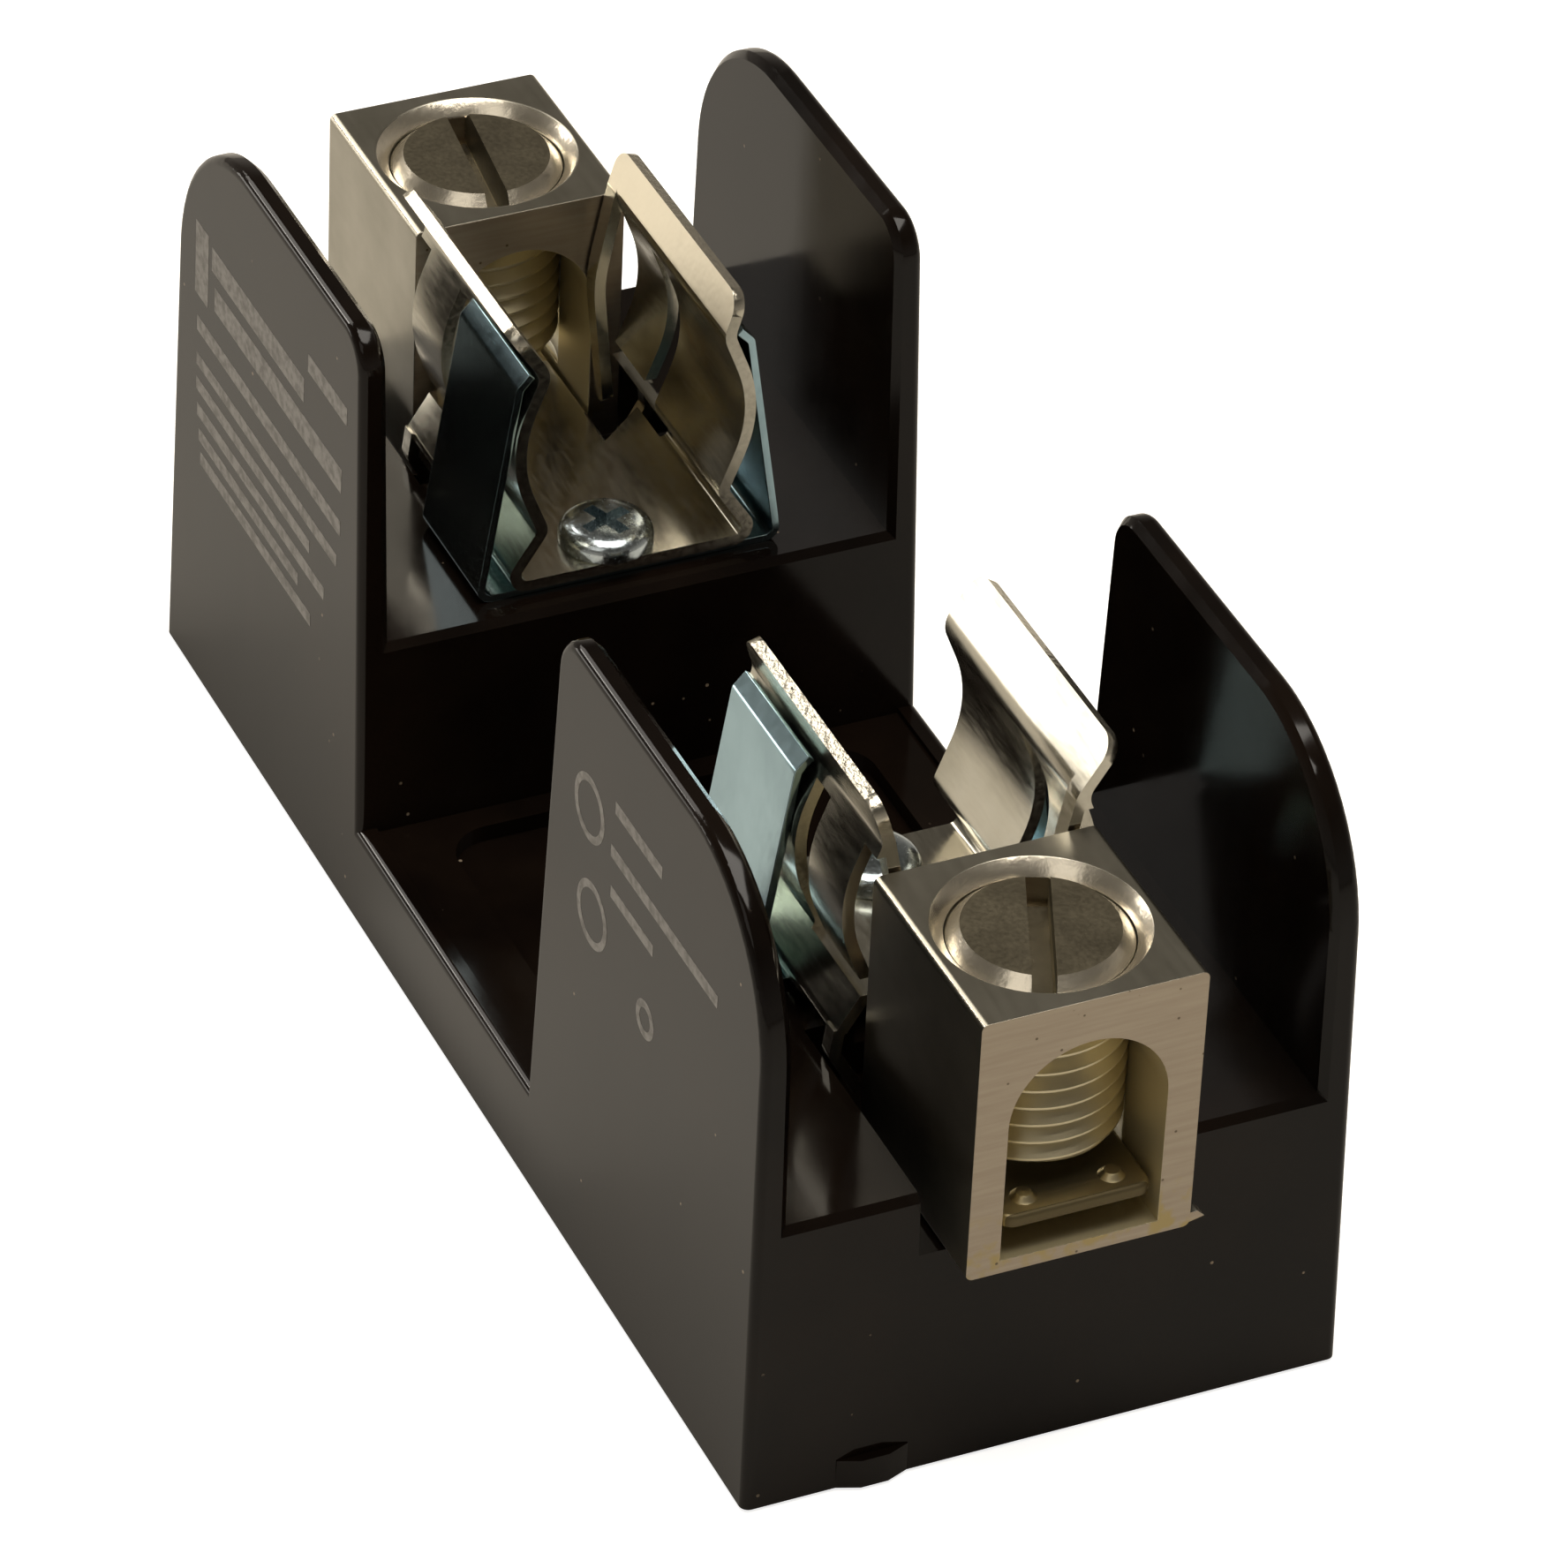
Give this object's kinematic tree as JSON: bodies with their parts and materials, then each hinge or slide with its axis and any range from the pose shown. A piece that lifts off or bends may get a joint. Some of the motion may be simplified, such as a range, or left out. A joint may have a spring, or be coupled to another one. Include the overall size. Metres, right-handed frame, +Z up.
{
  "type": "cartridge fuse block",
  "caption": "Open moulded block that holds a cartridge fuse between two spring clips, with a box lug and clamp screw at each end and barrier walls at the sides.",
  "frame": {"origin": "middle of the base's underside", "axes": "+Z up from the mounting surface, X along the fuse with the line end at +X, Y across between the barrier walls"},
  "size_m": [0.0852, 0.033, 0.036],
  "materials": {
    "phenolic": "glossy black-brown phenolic moulding",
    "plated_copper": "bright tin plate on copper alloy sheet",
    "zinc_spring": "blue-bright zinc plate",
    "tinned_aluminium": "satin tin plate, sawn ends",
    "tinned_screw": "satin plated steel",
    "zinc_screw": "blue-bright zinc plate"
  },
  "bodies": {
    "block": {"base": "phenolic", "line_clip": "plated_copper", "line_spring": "zinc_spring", "line_fixing_screw": "zinc_screw", "line_fixing_nut": "zinc_screw", "load_clip": "plated_copper", "load_spring": "zinc_spring", "load_fixing_screw": "zinc_screw", "load_fixing_nut": "zinc_screw"},
    "line_lug_body": {"line_lug": "tinned_aluminium"},
    "load_lug_body": {"load_lug": "tinned_aluminium"},
    "line_screw_body": {"line_clamp_screw": "tinned_screw"},
    "load_screw_body": {"load_clamp_screw": "tinned_screw"}
  },
  "joints": [
    {"name": "line_lug_float", "type": "slide", "parent": "block", "child": "line_lug_body", "axis": [0, 0, 1], "range_m": [0, 0.0012]},
    {"name": "load_lug_float", "type": "slide", "parent": "block", "child": "load_lug_body", "axis": [0, 0, 1], "range_m": [-0.001, 0.0002]},
    {"name": "line_screw_travel", "type": "slide", "parent": "line_lug_body", "child": "line_screw_body", "axis": [0, 0, 1], "range_m": [-0.001, 0.0085]},
    {"name": "load_screw_travel", "type": "slide", "parent": "load_lug_body", "child": "load_screw_body", "axis": [0, 0, 1], "range_m": [-0.001, 0.0085]}
  ]
}
